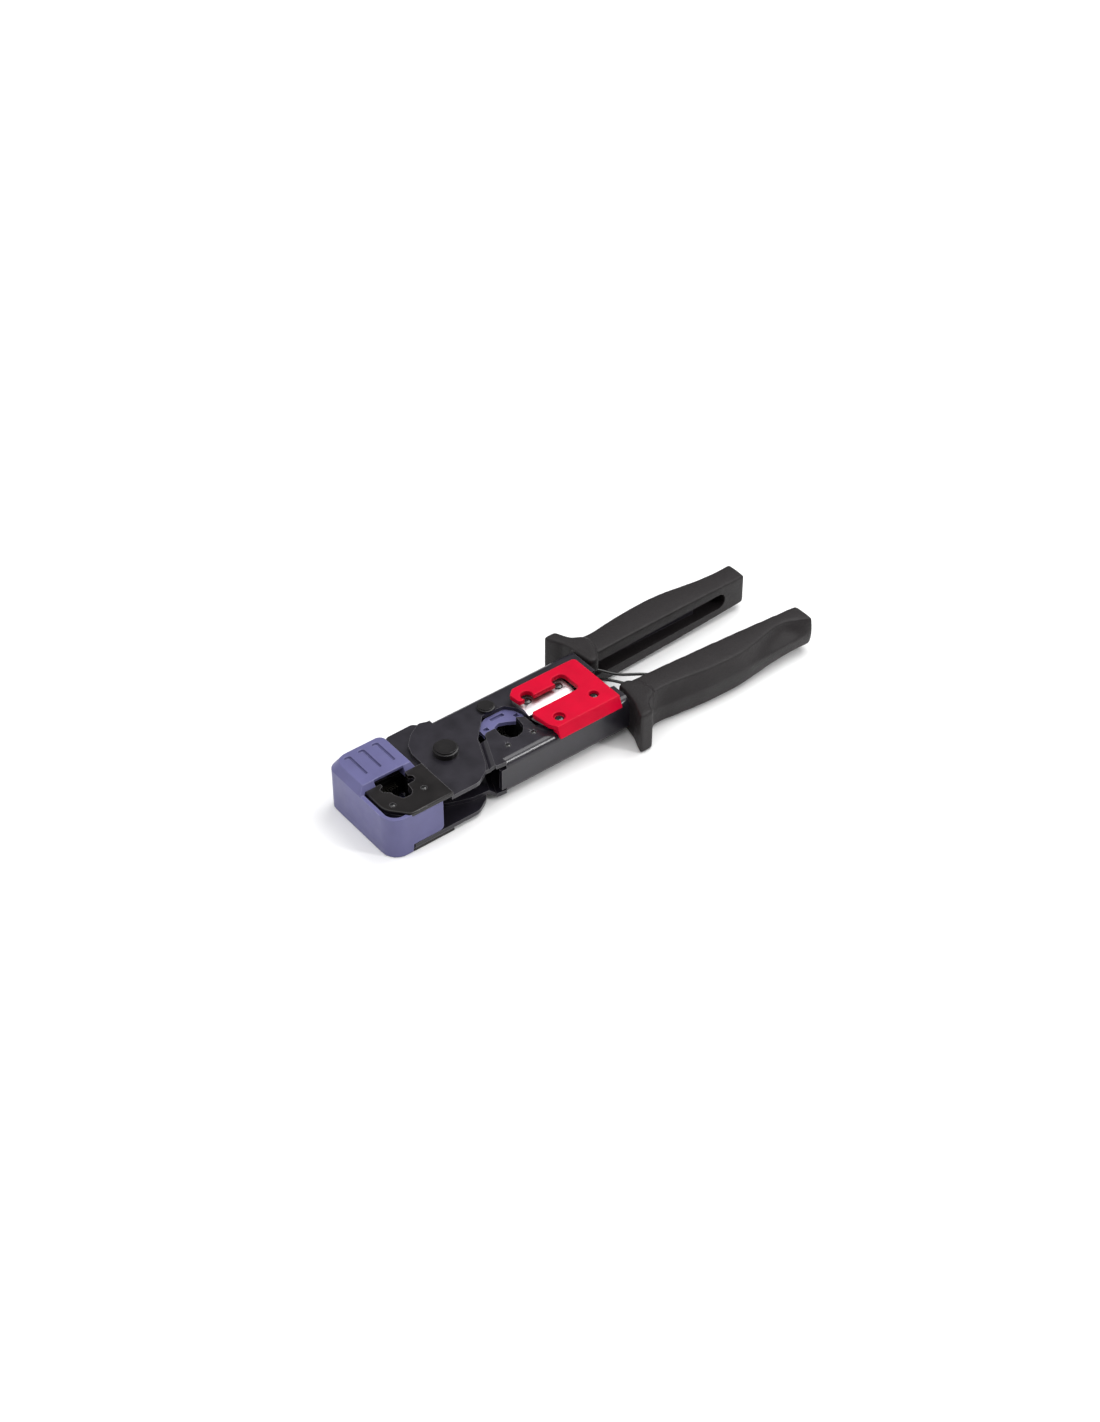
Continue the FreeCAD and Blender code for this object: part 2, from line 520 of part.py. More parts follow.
def make_handles():
    far_flange = [(77.4, 6.6, 1.2), (80.8, 6.4, 1.2), (84.0, 13.0), (85.5, 20.6, 3.0), (80.2, 23.6, 3.0),
                  (76.4, 30.6, 1.2), (71.4, 30.6, 1.2), (76.3, 20.0, 8.0)]
    far_grip = [(80.0, 21.8, 8.8), (92.0, 21.8, 8.7), (104.0, 23.2, 8.6), (120.0, 24.6, 8.4),
                (136.0, 24.6, 8.1), (150.0, 23.4, 7.7), (158.0, 22.8, 7.4), (165.0, 23.4, 7.1)]
    make_handle("far_handle", 1, far_flange, lambda x: 10.5 + 0.037 * (x - 83), far_grip, FAR_WEB)
    near_flange = [(77.6, 10.6, 1.2), (81.4, 10.4, 1.2), (84.6, 13.0), (86.2, 21.8, 3.0), (80.4, 25.4, 3.0),
                   (77.4, 31.9, 1.2), (71.4, 31.9, 1.2), (76.4, 21.5, 8.0)]
    near_grip = [(80.0, 23.6, 8.8), (88.0, 22.4, 8.8), (100.0, 23.2, 8.7), (114.0, 24.8, 8.5),
                 (130.0, 24.9, 8.2), (146.0, 23.2, 7.8), (157.0, 22.6, 7.4), (168.4, 24.6, 7.1)]
    make_handle("near_handle", -1, near_flange, lambda x: 11.4 + 0.0405 * (x - 90), near_grip, NEAR_WEB)


# ---------------------------------------------------------------- return spring
def make_spring():
    stepped_pins("spring_pin", [SPRING_PIN], [("-Dims.frame_half", "Dims.frame_half", 2.0)])
    body = new_body("return_spring")
    x, y = SPRING_PIN
    turn, wire = 2.9, D["wire_radius"]
    pad(body, [circle(x, y, turn + wire), circle(x, y, turn - wire)], -3.0, 6.0)
    for end, level, side in (((99.0, -13.0), 2.0, 1), ((91.0, -12.6), -2.0, 1), ((96.0, 13.8), 0.0, -1)):
        dx, dy = unit(end[0] - x, end[1] - y)
        sx, sy = -dy * turn * side, dx * turn * side
        leg = [(x + sx - dy * wire, y + sy + dx * wire), (x + sx + dy * wire, y + sy - dx * wire),
               (end[0] + dy * wire, end[1] - dx * wire), (end[0] - dy * wire, end[1] + dx * wire)]
        pad(body, [leg], level - wire, 2 * wire)


make_frame_channel()
make_head_plates()
make_nest()
make_pivot()
make_punch(("plug_punch", "plug_teeth"), -33.0, -18.0, 3.8, 15.0,
           slot_outline(-26.8, -25.5, 10.5, 2.1), -26.0, 8)
make_head_cover()
make_lever_channel()
make_jaw_pieces()
make_small_station()
make_punch(("small_punch", "small_teeth"), 22.5, 33.5, 6.4, 15.0,
           slot_outline(27.8, 29.15, 11.2, 1.7), 28.4, 6)
make_blades()
make_guard()
make_handles()
make_spring()
doc.recompute()

# ---------------------------------------------------------------- checks and files
for item in doc.Objects:
    if "Invalid" in item.State or "Error" in item.State:
        raise RuntimeError(f"{item.Name} ({item.Label}) failed: {item.State}")
os.makedirs("parts", exist_ok=True)
whole = FreeCAD.BoundBox()
for node in nodes:
    shape = node.Shape
    if shape.isNull() or not shape.isValid() or not shape.Solids:
        raise RuntimeError(f"{node.Label} has no valid solid")
    shape.exportStep(f"parts/{node.Label}.step")
    box = shape.BoundBox
    whole.add(box)
    print(f"{node.Label}: {len(shape.Solids)} solids, {shape.Volume:.1f} mm3, "
          f"x {box.XMin:.2f} {box.XMax:.2f}, y {box.YMin:.2f} {box.YMax:.2f}, "
          f"z {box.ZMin:.2f} {box.ZMax:.2f}")
print(f"whole: x {whole.XMin:.2f} {whole.XMax:.2f}, y {whole.YMin:.2f} {whole.YMax:.2f}, "
      f"z {whole.ZMin:.2f} {whole.ZMax:.2f}")
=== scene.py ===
import json
import math
import bpy
import bmesh
from mathutils import Matrix, Vector


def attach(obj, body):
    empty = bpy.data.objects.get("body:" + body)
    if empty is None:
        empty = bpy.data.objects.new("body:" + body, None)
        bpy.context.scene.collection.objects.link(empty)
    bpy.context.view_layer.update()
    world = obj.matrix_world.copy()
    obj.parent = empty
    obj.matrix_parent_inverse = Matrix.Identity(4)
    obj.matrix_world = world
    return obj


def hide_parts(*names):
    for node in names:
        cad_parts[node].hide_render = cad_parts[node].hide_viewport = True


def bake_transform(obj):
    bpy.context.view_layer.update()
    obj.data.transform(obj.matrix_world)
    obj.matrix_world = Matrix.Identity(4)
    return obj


# Crimping tool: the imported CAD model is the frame, and this script gives it its looks.
# Lengths are metres; MM turns the millimetres of the part's own drawing into metres.

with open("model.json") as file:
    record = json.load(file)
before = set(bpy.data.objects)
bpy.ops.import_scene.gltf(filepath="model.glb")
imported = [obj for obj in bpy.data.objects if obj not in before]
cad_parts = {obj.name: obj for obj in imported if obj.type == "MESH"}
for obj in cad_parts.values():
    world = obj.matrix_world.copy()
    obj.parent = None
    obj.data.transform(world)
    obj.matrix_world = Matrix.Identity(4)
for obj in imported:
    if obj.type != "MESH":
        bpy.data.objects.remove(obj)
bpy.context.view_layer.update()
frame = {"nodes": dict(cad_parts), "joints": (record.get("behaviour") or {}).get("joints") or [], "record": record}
nodes = frame["nodes"]
MM = 0.001
WELD = 1e-6         # metres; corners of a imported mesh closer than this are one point
PIVOT = Vector(next(j for j in frame["joints"] if j["name"] == "main_pivot")["pos_m"])


def at(x, y, z=0.0):
    """A point given in millimetres from the main pivot, z from the mid-plane."""
    return PIVOT + Vector((x, y, z)) * MM


# ---------------------------------------------------------------- material helpers
class Shader:
    """A Principled material whose nodes are added by short calls."""

    def __init__(self, name):
        self.material = bpy.data.materials.new(name)
        self.material.use_nodes = True
        self.tree = self.material.node_tree
        self.main = self.tree.nodes["Principled BSDF"]
        self.coords = self.add("ShaderNodeTexCoord").outputs["Object"]

    def add(self, kind, **values):
        node = self.tree.nodes.new(kind)
        for key, value in values.items():
            setattr(node, key, value)
        return node

    def link(self, source, target):
        self.tree.links.new(source, target)

    def set(self, **values):
        for key, value in values.items():
            self.main.inputs[key.replace("_", " ")].default_value = value
        return self

    def noise(self, size, detail=3.0, stretch=(1, 1, 1), rough=0.55):
        """Noise with features of about size metres."""
        mapping = self.add("ShaderNodeMapping")
        mapping.inputs["Scale"].default_value = stretch
        self.link(self.coords, mapping.inputs["Vector"])
        texture = self.add("ShaderNodeTexNoise")
        texture.inputs["Scale"].default_value = 1.0 / size
        texture.inputs["Detail"].default_value = detail
        texture.inputs["Roughness"].default_value = rough
        self.link(mapping.outputs["Vector"], texture.inputs["Vector"])
        return texture.outputs["Fac"]

    def ramp(self, source, stops):
        """Colour ramp; stops are (position, grey or rgb)."""
        ramp = self.add("ShaderNodeValToRGB")
        elements = ramp.color_ramp.elements
        while len(elements) < len(stops):
            elements.new(0.5)
        for element, (position, value) in zip(elements, stops):
            rgb = (value,) * 3 if isinstance(value, (int, float)) else value
            element.position = position
            element.color = (*rgb, 1.0)
        self.link(source, ramp.inputs["Fac"])
        return ramp.outputs["Color"]

    def mix(self, factor, first, second):
        """first where factor is 0 and second where it is 1; each is a socket, a number or a colour."""
        node = self.add("ShaderNodeMix", data_type="RGBA")
        for socket, value in ((node.inputs[0], factor), (node.inputs[6], first), (node.inputs[7], second)):
            if isinstance(value, bpy.types.NodeSocket):
                self.link(value, socket)
            elif isinstance(value, (int, float)):
                socket.default_value = value if socket.type == "VALUE" else (value, value, value, 1.0)
            else:
                socket.default_value = (*value, 1.0)
        return node.outputs[2]

    def scaled(self, source, factor):
        """source times a number."""
        node = self.add("ShaderNodeMath", operation="MULTIPLY")
        node.inputs[1].default_value = factor
        self.link(source, node.inputs[0])
        return node.outputs["Value"]

    def edges(self, width, low=0.14, high=0.45):
        """1 on convex and concave edges narrower than width, 0 on flat faces."""
        bevel = self.add("ShaderNodeBevel", samples=6)
        bevel.inputs["Radius"].default_value = width
        geometry = self.add("ShaderNodeNewGeometry")
        turn = self.add("ShaderNodeVectorMath", operation="DISTANCE")
        self.link(bevel.outputs["Normal"], turn.inputs[0])
        self.link(geometry.outputs["Normal"], turn.inputs[1])
        return self.ramp(turn.outputs["Value"], [(low, 0.0), (high, 1.0)])

    def bump(self, source, depth, strength):
        """Relief from source, depth metres deep."""
        node = self.add("ShaderNodeBump")
        node.inputs["Distance"].default_value = depth
        node.inputs["Strength"].default_value = strength
        self.link(source, node.inputs["Height"])
        self.link(node.outputs["Normal"], self.main.inputs["Normal"])

    def colour(self, source):
        self.link(source, self.main.inputs["Base Color"])

    def roughness(self, source):
        self.link(source, self.main.inputs["Roughness"])


def black_oxide(name, tone, gloss, wear_and_highlight, coat=0.45):
    """Blackened steel under a thin oiled coat: faint mottling, fine grain, and lighter edges that are partly oxide
    worn through and partly a painted highlight.
    """
    s = Shader(name).set(Metallic=0.0, Specular_IOR_Level=0.26, Coat_Weight=coat, Coat_IOR=1.8,
                         Coat_Roughness=0.11)
    cloud = s.noise(0.009, 5.0)
    grain = s.noise(0.00035, 2.0, (0.25, 1, 1))
    body = s.ramp(cloud, [(0.3, tuple(c * 0.72 for c in tone)), (0.72, tuple(c * 1.3 for c in tone))])
    scuffs = s.ramp(s.noise(0.0016, 6.0, (0.35, 1.2, 1.0), 0.7), [(0.62, 0.0), (0.74, 0.35)])
    body = s.mix(scuffs, body, tuple(c * 2.2 + 0.01 for c in tone))
    # lighter edges: partly oxide worn through, partly a painted highlight where the edges catch the light
    worn_and_highlit_edges = s.scaled(s.edges(0.00035), wear_and_highlight)
    s.colour(s.mix(worn_and_highlit_edges, body, (0.34, 0.33, 0.35)))
    s.roughness(s.ramp(cloud, [(0.3, gloss - 0.05), (0.7, gloss + 0.1)]))
    s.bump(grain, 0.00002, 0.5)
    return s.material


def moulded(name, tone, gloss, grain_size, grain_depth, pale, shine):
    """Injection-moulded plastic: fine texture, slow colour drift, and a painted highlight that lightens the edges
    by pale.
    """
    s = Shader(name).set(Specular_IOR_Level=shine)
    drift = s.noise(0.014, 4.0)
    body = s.ramp(drift, [(0.3, tuple(c * 0.88 for c in tone)), (0.7, tuple(c * 1.1 for c in tone))])
    # painted highlight: the edges are lightened as if they caught the light
    edge = s.scaled(s.edges(0.0005), pale)
    highlight_tint = tuple(c * 1.25 + 0.12 for c in tone)
    s.colour(s.mix(edge, body, highlight_tint))
    s.roughness(s.ramp(s.noise(0.004, 4.0), [(0.3, gloss - 0.03), (0.7, gloss + 0.07)]))
    s.bump(s.noise(grain_size, 3.0, rough=0.65), grain_depth, 0.8)
    return s.material


def ground_steel(name, tone, gloss, lay):
    """Bright steel with grinding lines along lay."""
    s = Shader(name).set(Metallic=1.0)
    lines = s.noise(0.00018, 3.0, lay, 0.7)
    s.colour(s.ramp(lines, [(0.2, tuple(c * 0.8 for c in tone)), (0.8, tone)]))
    s.roughness(s.ramp(s.noise(0.003, 3.0), [(0.3, gloss), (0.7, gloss + 0.12)]))
    s.bump(lines, 0.00001, 0.6)
    return s.material


# black_oxide takes tone, gloss, the share of lighter edges (partly worn oxide, partly a painted highlight) and
# coat; moulded takes tone, gloss, grain size, grain depth, pale (a painted highlight on the edges) and shine;
# ground_steel takes tone, gloss and the lay of its lines.
SHEET = (0.0140, 0.0124, 0.0182)
finish = {
    "sheet": black_oxide("sheet_steel", SHEET, 0.34, 0.26, 0.24),
    "plate": black_oxide("head_plate_steel", (0.0046, 0.0034, 0.0036), 0.34, 0.34, 0.14),
    "rivet": black_oxide("rivet_steel", (0.0046, 0.0038, 0.0040), 0.34, 0.04, 0.14),
    "screw": black_oxide("screw_steel", (0.0040, 0.0038, 0.0040), 0.22, 0.05),
    "blue": moulded("blue_plastic", (0.111, 0.108, 0.238), 0.38, 0.0004, 0.000008, 0.45, 0.34),
    "red": moulded("red_plastic", (0.530, 0.0010, 0.0240), 0.36, 0.0005, 0.000006, 0.10, 0.10),
    "grip": moulded("grip_plastic", (0.0128, 0.0106, 0.0114), 0.45, 0.0008, 0.00022, 0.06, 0.27),
    # black nylon made darker still: painted shade standing in for the shade inside the plug nests
    "nylon_with_painted_shade": moulded("black_nylon", (0.0018, 0.0018, 0.0019), 0.55, 0.0006, 0.00003, 0.0, 0.10),
    "blade": ground_steel("ground_blade", (0.62, 0.56, 0.58), 0.30, (1.0, 0.05, 1.0)),
    "bright": ground_steel("turned_steel", (0.50, 0.49, 0.47), 0.32, (1.0, 1.0, 0.1)),
    # the teeth's steel is near black: painted shade standing in for the shade inside the plug nests
    "contact_with_painted_shade": ground_steel("contact_steel", (0.060, 0.056, 0.048), 0.40, (0.1, 1.0, 1.0)),
    "wire": black_oxide("spring_wire", (0.0045, 0.0045, 0.0045), 0.34, 0.05),
}

# ---------------------------------------------------------------- CAD nodes: finish and softened edges
LOOK = {        # node shown as it is: (finish, bevel width in millimetres)
    "frame_channel": ("sheet", 0.22), "lever_channel": ("sheet", 0.22),
    "head_plate_top": ("plate", 0.18), "head_plate_bottom": ("plate", 0.18),
    "plug_nest": ("nylon_with_painted_shade", 0.15), "small_plug_nest": ("nylon_with_painted_shade", 0.15),
    "plug_punch": ("nylon_with_painted_shade", 0.2), "small_punch": ("nylon_with_painted_shade", 0.2),
    "plug_teeth": ("contact_with_painted_shade", 0.08), "small_teeth": ("contact_with_painted_shade", 0.08),
    "pivot_rivet": ("rivet", 0.35), "punch_rivet": ("rivet", 0.3), "pivot_bush": ("bright", 0.2),
    "jaw_spacer": ("rivet", 0.2), "drive_pin": ("rivet", 0.2), "spring_pin": ("rivet", 0.2),
    "plug_guide": ("blue", 0.12),
    "cutter_blade": ("blade", 0.05), "stripper_blade": ("blade", 0.05),
}


def welded(obj):
    """Joins the corners that packing left apart."""
    obj.modifiers.new("weld", "WELD").merge_threshold = WELD


def soften(obj, width, flat=False):
    """Rounds the object's sharp edges by width millimetres; flat keeps large faces evenly lit."""
    welded(obj)
    bevel = obj.modifiers.new("soft_edges", "BEVEL")
    bevel.limit_method = "ANGLE"
    bevel.angle_limit = math.radians(32)
    bevel.width = width * MM
    bevel.segments = 2
    bevel.use_clamp_overlap = True
    if flat:
        bevel.harden_normals = True
        return
    normals = obj.modifiers.new("even_light", "WEIGHTED_NORMAL")
    normals.keep_sharp = False


def paint(obj, material):
    obj.data.materials.clear()
    obj.data.materials.append(material)


for name, (look, width) in LOOK.items():
    for slot in nodes[name].material_slots:
        slot.material = finish[look]
    soften(nodes[name], width, flat=look == "plate")

# ---------------------------------------------------------------- pieces that replace a CAD node
body_of = {node: body for body, held in frame["record"]["behaviour"]["bodies"].items() for node in held}


def new_piece(name, mesh, node, look):
    """An object that stands for a CAD node and rides on the same body."""
    obj = bpy.data.objects.new(name, mesh)
    bpy.context.scene.collection.objects.link(obj)
    paint(obj, finish[look])
    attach(obj, body_of[node])
    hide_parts(node)
    return obj


def apply_all(obj):
    """Turns the object's modifiers into its mesh."""
    bpy.context.view_layer.update()
    graph = bpy.context.evaluated_depsgraph_get()
    mesh = bpy.data.meshes.new_from_object(obj.evaluated_get(graph))
    old = obj.data
    obj.modifiers.clear()
    obj.data = mesh
    bpy.data.meshes.remove(old)


def new_shape(mesh):
    """An object that is only needed while pieces are made."""
    obj = bpy.data.objects.new("shape", mesh)
    bpy.context.scene.collection.objects.link(obj)
    return obj


def melt(obj, voxel, rounds):
    """Fuses the object's closed shells at voxel millimetres and rounds every edge by rounds of smoothing."""
    remesh = obj.modifiers.new("fuse", "REMESH")
    remesh.mode = "VOXEL"
    remesh.voxel_size = voxel * MM
    relax = obj.modifiers.new("relax", "SMOOTH")
    relax.factor = 0.5
    relax.iterations = rounds
    apply_all(obj)


def smooth_shade(mesh, angle):
    """Smooth shading that keeps edges sharper than angle degrees."""
    mesh.shade_smooth()
    mesh.set_sharp_from_angle(angle=math.radians(angle))


def shell(mesh_maker):
    """A mesh from a function that fills a bmesh."""
    bm = bmesh.new()
    mesh_maker(bm)
    bmesh.ops.recalc_face_normals(bm, faces=bm.faces)
    mesh = bpy.data.meshes.new("shell")
    bm.to_mesh(mesh)
    bm.free()
    return mesh


def add_rings(bm, rings):
    """Closed skin through rings of points, capped at both ends."""
    rows = [[bm.verts.new(point) for point in ring] for ring in rings]
    count = len(rows[0])
    for first, second in zip(rows, rows[1:]):
        for i in range(count):
            j = (i + 1) % count
            bm.faces.new((first[i], first[j], second[j], second[i]))
    bm.faces.new(rows[0])
    bm.faces.new(list(reversed(rows[-1])))


def add_plate(bm, plan, low, high):
    """A plate over a plan outline given in millimetres."""
    add_rings(bm, [[at(x, y, z) for x, y in plan] for z in (low, high)])


def cut(obj, cutter_mesh):
    """Takes the closed cutter away from obj."""
    cutter = new_shape(cutter_mesh)
    difference = obj.modifiers.new("cut", "BOOLEAN")
    difference.operation = "DIFFERENCE"
    difference.solver = "EXACT"
    difference.object = cutter
    apply_all(obj)
    bpy.data.objects.remove(cutter)
    bpy.data.meshes.remove(cutter_mesh)


def moulded_copy(node, look, voxel, rounds):
    """Replaces a CAD node by a copy of it with moulded edges."""
    obj = new_piece(node + "_moulding", nodes[node].data.copy(), node, look)
    welded(obj)
    melt(obj, voxel, rounds)
    smooth_shade(obj.data, 60.0)


moulded_copy("head_cover", "blue", 0.20, 5)
moulded_copy("blade_guard", "red", 0.17, 12)


# ---------------------------------------------------------------- handles
def track(stations, x, column):
    """Smooth value of one column of (x, ...) stations at x."""
    last = len(stations) - 1
    i = max(1, next((k for k, station in enumerate(stations) if station[0] >= x), last))
    x0, x1 = stations[i - 1][0], stations[i][0]
    v0, v1 = stations[i - 1][column], stations[i][column]

    def slope(k):
        low, high = stations[max(0, k - 1)], stations[min(last, k + 1)]
        return (high[column] - low[column]) / (high[0] - low[0])
    span = x1 - x0
    f = (x - x0) / span
    a, b = slope(i - 1) * span, slope(i) * span
    return ((2 * f ** 3 - 3 * f ** 2 + 1) * v0 + (f ** 3 - 2 * f ** 2 + f) * a
            + (3 * f ** 2 - 2 * f ** 3) * v1 + (f ** 3 - f ** 2) * b)


# Along the grip: x, width to the scooped ridge, to the belly, to the plain ridge, half height, scoop.
GRIP = [(77.0, 15.0, 15.8, 15.2, 9.0, 0.0), (83.0, 12.2, 13.2, 12.2, 8.9, 1.1),
        (89.0, 10.7, 12.2, 11.3, 8.9, 1.7), (98.0, 10.9, 12.9, 12.0, 8.9, 1.4),
        (112.0, 12.1, 13.9, 13.0, 8.7, 0.9), (128.0, 11.9, 13.7, 12.9, 8.4, 0.8),
        (139.0, 9.8, 12.6, 11.4, 8.1, 1.2), (148.0, 7.3, 11.7, 10.1, 7.8, 1.5),
        (156.0, 6.2, 11.2, 9.5, 7.5, 1.5), (162.0, 7.9, 11.0, 9.4, 7.3, 1.0),
        (168.0, 10.2, 10.9, 9.8, 7.1, 0.0)]
CROWN = 0.25            # how far the flats of a grip bulge
RING_STEPS = 12         # points along each flat of a cross-section


def grip_ring(side, x, inner):
    """One cross-section of the grip: flat top and bottom, inner face, and a scooped outer side."""
    ridge, belly, plain, half, scoop = (track(GRIP, x, column) for column in range(1, 6))
    shoulder, steps = half - CROWN, RING_STEPS
    points = []
    for i in range(steps + 1):          # across the scooped flat, outwards
        t = ridge * i / steps
        points.append((t, half - CROWN * (2 * i / steps - 1) ** 2))
    for i in range(1, 2 * steps):       # down the outer side
        u = 1 - i / steps
        edge = ridge if u > 0 else plain
        hollow = scoop if u > 0 else 0.0
        a = abs(u)
        reach = (1 - hollow) * (1 - a * a) + hollow * (1 - a) ** 1.4
        points.append((edge + (belly - edge) * reach, shoulder * u))
    for i in range(steps + 1):          # back across the plain flat
        t = plain * (1 - i / steps)
        points.append((t, -half + CROWN * (2 * i / steps - 1) ** 2))
    for i in range(1, steps):
        points.append((0.0, shoulder * (2 * i / steps - 1)))
    # the far handle is the same moulding turned over
    return [at(x, side * (inner + t), -side * z) for t, z in points]


GRIP_START, GRIP_END = GRIP[0][0], GRIP[-1][0]
GRIP_SLICES = 84
TIP_LENGTH, TIP_TAPER = 1.2, 0.07                   # the rear end narrows by this share over this length
GUARD_HALF_HEIGHT = 9.98
GUARD_MELT, GRIP_MELT = (0.4, 30), (0.32, 26)        # voxel and rounds of smoothing
SLOT_START, SLOT_END, SLOT_HALF = 60.0, 150.5, 3.6    # the slot's round end is centred on SLOT_END
SLOT_MOUTH = 80.0                                    # where the height of its open side is taken
SLOT_LEAD, SLOT_PAST = 8.0, 0.05                     # the cutter starts this far outside, and passes the web


def make_handle(node, side, inner_at, rear, guard_plan, web):
    """A grip with a finger guard, cut by a slot from its inner face to web; side is 1 far and -1 near."""
    guard = new_shape(shell(lambda bm: add_plate(bm, [(x, side * y) for x, y in guard_plan],
                                                 -GUARD_HALF_HEIGHT, GUARD_HALF_HEIGHT)))
    melt(guard, *GUARD_MELT)

    def fill(bm):
        rings = []
        for i in range(GRIP_SLICES + 1):
            f = i / GRIP_SLICES
            x = GRIP_START + (rear - GRIP_START) * f
            drawn = GRIP_START + (GRIP_END - GRIP_START) * f      # GRIP is drawn longer than the far handle
            ring = grip_ring(side, drawn, inner_at(x))
            shift = Vector(((x - drawn) * MM, 0, 0))
            tip = max(0.0, (x - (rear - TIP_LENGTH)) / TIP_LENGTH)
            middle = sum(ring, Vector()) / len(ring)
            rings.append([middle + (p - middle) * (1 - TIP_TAPER * tip * tip) + shift for p in ring])
        add_rings(bm, rings)
        bm.from_mesh(guard.data)
    obj = new_piece(node + "_moulding", shell(fill), node, "grip")
    bpy.data.objects.remove(guard)
    melt(obj, *GRIP_MELT)
    near_y, deep_y = side * (inner_at(SLOT_MOUTH) - SLOT_LEAD), side * (web + SLOT_PAST)

    def fill_slot(bm):
        turn = [math.pi * k / 16 for k in range(17)]
        rim = [(SLOT_START, -SLOT_HALF)]
        rim += [(SLOT_END + SLOT_HALF * math.sin(a), -SLOT_HALF * math.cos(a)) for a in turn]
        rim += [(SLOT_START, SLOT_HALF)]
        add_rings(bm, [[at(x, y, z) for x, z in rim] for y in (near_y, deep_y)])
    cut(obj, shell(fill_slot))
    smooth_shade(obj.data, 50.0)


# Plans of the two finger guards, from the inner face round the outside; y is away from the middle.
FAR_GUARD = [(77.0, 6.8), (78.0, 6.3), (80.4, 6.3), (81.4, 7.2), (84.4, 13.0), (86.0, 19.0), (84.6, 21.6),
             (80.6, 23.8), (78.8, 27.0), (77.4, 30.6), (71.4, 30.6), (73.2, 26.0), (75.0, 22.6),
             (76.2, 18.0)]
NEAR_GUARD = [(77.2, 11.0), (78.2, 10.6), (81.2, 10.5), (82.4, 11.4), (84.8, 14.5), (86.6, 20.5),
              (85.0, 23.6), (80.8, 25.6), (79.0, 28.2), (77.8, 31.9), (71.4, 31.9), (73.0, 27.6),
              (75.0, 23.4), (76.2, 18.6)]
make_handle("far_handle", 1, lambda x: 10.5 + 0.037 * (x - 83), 165.0, FAR_GUARD, 19.0)
make_handle("near_handle", -1, lambda x: 11.4 + 0.0405 * (x - 90), 168.4, NEAR_GUARD, 19.2)


# ---------------------------------------------------------------- return spring
def wire(name, path, radius):
    """A round wire along points in the frame, as a mesh object."""
    curve = bpy.data.curves.new(name, "CURVE")
    curve.dimensions = "3D"
    curve.bevel_depth = radius * MM
    curve.bevel_resolution = 3
    curve.use_fill_caps = True
    spline = curve.splines.new("POLY")
    spline.points.add(len(path) - 1)
    for point, place in zip(spline.points, path):
        point.co = (*place, 1.0)
    obj = bpy.data.objects.new(name, curve)
    bpy.context.scene.collection.objects.link(obj)
    graph = bpy.context.evaluated_depsgraph_get()
    mesh = bpy.data.meshes.new_from_object(obj.evaluated_get(graph))
    bpy.data.objects.remove(obj)
    bpy.data.curves.remove(curve)
    mesh.shade_smooth()
    piece = bpy.data.objects.new(name, mesh)
    bpy.context.scene.collection.objects.link(piece)
    paint(piece, finish["wire"])
    return piece


def curved(knots, steps=10):
    """Smooth path through knots."""
    points = [Vector(k) for k in knots]
    ends = [points[0] * 2 - points[1]] + points + [points[-1] * 2 - points[-2]]
    path = []
    for p0, p1, p2, p3 in zip(ends, ends[1:], ends[2:], ends[3:]):
        for i in range(steps):
            t = i / steps
            path.append(0.5 * (2 * p1 + (p2 - p0) * t + (2 * p0 - 5 * p1 + 4 * p2 - p3) * t * t
                               + (3 * p1 - p0 - 3 * p2 + p3) * t ** 3))
    return path + [points[-1]]


SPRING = (69.0, 9.5)                    # the spring's pin, from the main pivot
COIL, WIRE = 2.9, 0.62                  # radius of the coil and of the wire
TURNS, TURN_STEPS = 2.25, 24            # turns of each coil, and points in one turn


def coil(low, high):
    """A path wound round the spring's pin from height low to high."""
    steps = int(TURN_STEPS * TURNS)
    angle = 2 * math.pi * TURNS / steps
    return [at(SPRING[0] + COIL * math.cos(angle * i), SPRING[1] + COIL * math.sin(angle * i),
               low + (high - low) * i / steps) for i in range(steps + 1)]


# Each leg: name, height where its coil starts and ends, and points from the coil to lever B.
LEGS = [("spring_upper", 0.4, 3.0, [(77.0, 11.0, 3.0), (82.0, 8.6, 1.5), (87.8, 2.0, 0.5), (96.8, -4.2, 0.0),
                                    (104.0, -12.8, 0.0)]),
        ("spring_lower", -0.4, -3.0, [(77.0, 9.4, -3.0), (81.8, 6.4, -2.0), (86.1, -0.6, -1.0),
                                      (91.5, -12.6, -0.5)])]
for name, low, high, knots in LEGS:
    leg = wire(name, coil(low, high) + curved([at(*k) for k in knots]), WIRE)
    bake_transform(leg)
    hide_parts("return_spring")
tail = wire("spring_tail", [at(SPRING[0] + COIL, SPRING[1], -0.4), at(SPRING[0] + COIL, SPRING[1], 0.4)]
            + curved([at(74.0, 12.0, 0.2), at(84.0, 14.6, 0.0), at(96.0, 15.6, 0.0)]), WIRE)
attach(tail, "lever_a")
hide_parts("return_spring")


# ---------------------------------------------------------------- screws
def add_lathe(bm, x, y, profile, around=40):
    """A turned solid about a vertical line through x, y; profile is (radius, z) from the bottom up."""
    turn = [2 * math.pi * k / around for k in range(around)]
    add_rings(bm, [[at(x + r * math.cos(a), y + r * math.sin(a), z) for a in turn] for r, z in profile])


SLIT = 0.17             # half width of each arm of the cross, as a share of recess


